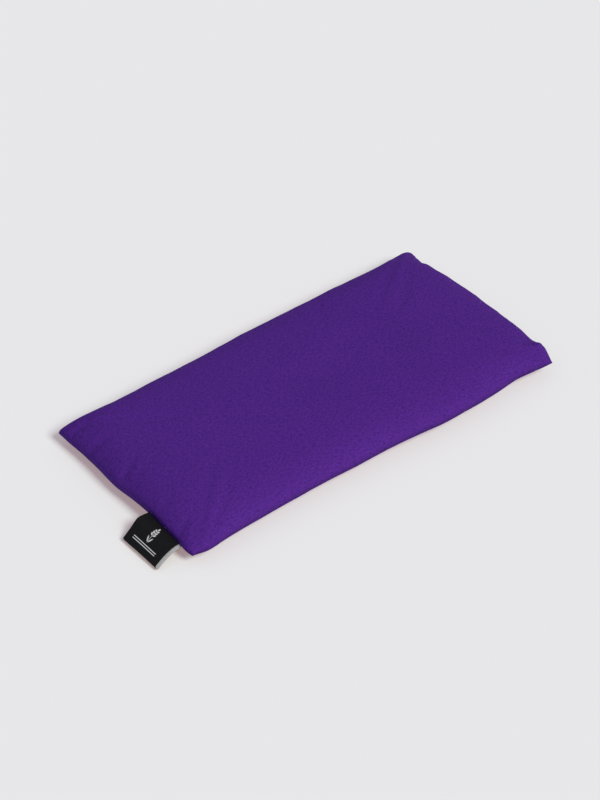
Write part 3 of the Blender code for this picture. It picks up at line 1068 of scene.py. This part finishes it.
def label_sections():
    """The folded ribbon seen from its side, from its upper tail round the fold to its lower tail.

    Each row is the outside's x and z, the inside's x and z, the distance s along the ribbon from the
    seam, and how far round the fold it is: 0 on the upper layer and 1 on the lower one.
    """
    steps = 118
    fold_steps = 14
    s_line = np.linspace(-LABEL_TAIL, LABEL_LENGTH - 0.5 * MM, steps + 1)
    angle = np.where(s_line < 0.0, 0.0, label_droop(np.maximum(s_line, 0.0)))
    ds = np.diff(s_line)
    mean = (angle[1:] + angle[:-1]) / 2
    x = np.concatenate([[0.0], np.cumsum(-ds * np.cos(mean))])
    z = np.concatenate([[0.0], np.cumsum(-ds * np.sin(mean))])
    start = int(np.argmin(np.abs(s_line)))
    x = x - x[start] + HINGE[0] + 0.2 * MM
    z = z - z[start] + HINGE[2]
    opening = smooth((s_line + 0.5 * MM) / (3.0 * MM))
    gap = 0.08 * MM + LABEL_GAP / 2 * opening
    up = np.stack([-np.sin(angle), np.cos(angle)], axis=-1)
    ahead = np.array([-cos(angle[-1]), -sin(angle[-1])])

    def section(k, direction, s, round_fold):
        outer = gap[k] + LABEL_LAYER
        outside = (x[k] + direction[0] * outer, z[k] + direction[1] * outer)
        inside = (x[k] + direction[0] * gap[k], z[k] + direction[1] * gap[k])
        return (*outside, *inside, s, round_fold)

    upper = [section(k, up[k], s_line[k], 0.0) for k in range(steps + 1)]
    fold = []
    for k in range(1, fold_steps):
        turn = pi * k / fold_steps
        direction = up[-1] * cos(turn) + ahead * sin(turn)
        s = s_line[-1] + (gap[-1] + LABEL_LAYER) * turn
        fold.append(section(-1, direction, s, k / fold_steps))
    lower = [section(k, -up[k], 2 * LABEL_LENGTH - s_line[k], 1.0) for k in range(steps, -1, -1)]
    return np.array(upper + fold + lower)


def make_label(material):
    """The folded label, from its sewn-in tails round the fold at its free end."""
    sections = label_sections()
    s = sections[:, 4]
    round_fold = sections[:, 5]
    columns = 130
    t = np.linspace(-LABEL_WIDTH / 2, LABEL_WIDTH / 2, columns + 1)
    reach = np.clip(np.minimum(s, 2 * LABEL_LENGTH - s) / LABEL_LENGTH, 0.0, 1.0)
    s_grid, t_grid = np.meshgrid(s / MM, t / MM, indexing="ij")
    mask = motif_mask(s_grid, -t_grid)
    mask[round_fold > 0.5] = 0.0

    shape = bmesh.new()
    cloth_map = shape.loops.layers.uv.new("cloth")
    motif_layer = shape.verts.layers.float.new("motif")
    back_layer = shape.verts.layers.float.new("back")
    where = {}

    def add_layer(px, pz, back):
        grid = []
        for i in range(len(s)):
            row = []
            for j, tj in enumerate(t):
                skew = -LABEL_SKEW * reach[i] ** 1.5
                curl = label_curl(reach[i], tj / (LABEL_WIDTH / 2))
                slip = -LABEL_SLIP * round_fold[i]
                vertex = shape.verts.new((px[i], LABEL_Y + tj + skew + slip, pz[i] + curl))
                vertex[motif_layer] = 0.0 if back else mask[i, j]
                vertex[back_layer] = 1.0 if back else 0.0
                where[vertex] = (s[i], tj)
                row.append(vertex)
            grid.append(row)
        return grid

    outside = add_layer(sections[:, 0], sections[:, 1], False)
    inside = add_layer(sections[:, 2], sections[:, 3], True)
    rows = len(sections) - 1
    for i in range(rows):
        for j in range(columns):
            corners = (outside[i][j], outside[i][j + 1], outside[i + 1][j + 1], outside[i + 1][j])
            shape.faces.new(corners)
            corners = (inside[i][j], inside[i + 1][j], inside[i + 1][j + 1], inside[i][j + 1])
            shape.faces.new(corners)
        for j in (0, columns):
            corners = (outside[i][j], outside[i + 1][j], inside[i + 1][j], inside[i][j])
            shape.faces.new(corners if j == 0 else corners[::-1])
    for i in (0, rows):
        for j in range(columns):
            corners = (outside[i][j], inside[i][j], inside[i][j + 1], outside[i][j + 1])
            shape.faces.new(corners if i == 0 else corners[::-1])
    map_cloth(shape, cloth_map, where)
    label = finish_piece("folded_label", shape, material)
    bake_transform(label)
    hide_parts("woven_label", "label_tail")


def label_curl(reach, across):
    """How far the label strays from its middle line, for reach from 0 at the seam to 1 at its end.

    Its root follows the seam, its far side is lifted by a soft shoulder, and its end's corners curl
    down. across runs from -1 at the near side to 1 at the far side.
    """
    root = (-1.7 + 0.8 * across) * (1.0 - reach)
    shoulder = 1.6 * hill(reach, 0.37, 0.21) * ((1.0 + across) / 2.0) ** 1.5
    tip = -0.35 * reach**2 * across**2
    return (root + shoulder + tip) * MM


# ------------------------ studio
def make_studio():
    floor_mesh = bpy.data.meshes.new("studio_floor")
    shape = bmesh.new()
    bmesh.ops.create_circle(shape, cap_ends=True, radius=FLOOR_RADIUS, segments=96)
    shape.to_mesh(floor_mesh)
    shape.free()
    floor_mesh.materials.append(floor_material())
    floor = bpy.data.objects.new("studio_floor", floor_mesh)
    floor.location = (0.0, 0.0, -FLOOR_DROP)
    bpy.context.scene.collection.objects.link(floor)

    world = bpy.data.worlds.new("studio")
    world.use_nodes = True
    sky = world.node_tree.nodes["Background"]
    sky.inputs["Color"].default_value = (*SKY, 1.0)
    sky.inputs["Strength"].default_value = SKY_STRENGTH
    bpy.context.scene.world = world

    # one large soft light from the front and the right
    sun = bpy.data.lights.new("soft_key", "SUN")
    sun.angle = KEY_LIGHT_ANGLE
    sun.energy = KEY_LIGHT_STRENGTH
    sun.color = KEY_LIGHT
    lamp = bpy.data.objects.new("soft_key", sun)
    lamp.rotation_euler = Vector(KEY_LIGHT_FROM).to_track_quat("Z", "Y").to_euler()
    bpy.context.scene.collection.objects.link(lamp)


def make_camera():
    level = cos(CAMERA_ELEVATION)
    away = Vector((sin(CAMERA_AZIMUTH) * level, -cos(CAMERA_AZIMUTH) * level, sin(CAMERA_ELEVATION)))
    data = bpy.data.cameras.new("camera")
    data.lens = CAMERA_LENS
    data.sensor_width = CAMERA_SENSOR
    data.clip_start = 0.05
    data.clip_end = 20.0
    camera = bpy.data.objects.new("camera", data)
    camera.location = Vector(CAMERA_TARGET) + away * CAMERA_DISTANCE
    camera.rotation_euler = (-away).to_track_quat("-Z", "Y").to_euler()
    bpy.context.scene.collection.objects.link(camera)
    bpy.context.scene.camera = camera


# ------------------------ all together
make_camera()
make_studio()
bpy.context.scene.view_settings.view_transform = "Standard"
cover = make_cover(cover_material())
bag = make_inner_bag(calico_material())
make_filling(seed_material())
purple_thread = thread_material("cover_thread", PURPLE_THREAD)
calico_thread = thread_material("inner_thread", CALICO_THREAD)
make_threads(cover, bag, purple_thread, calico_thread)
make_label(label_material())
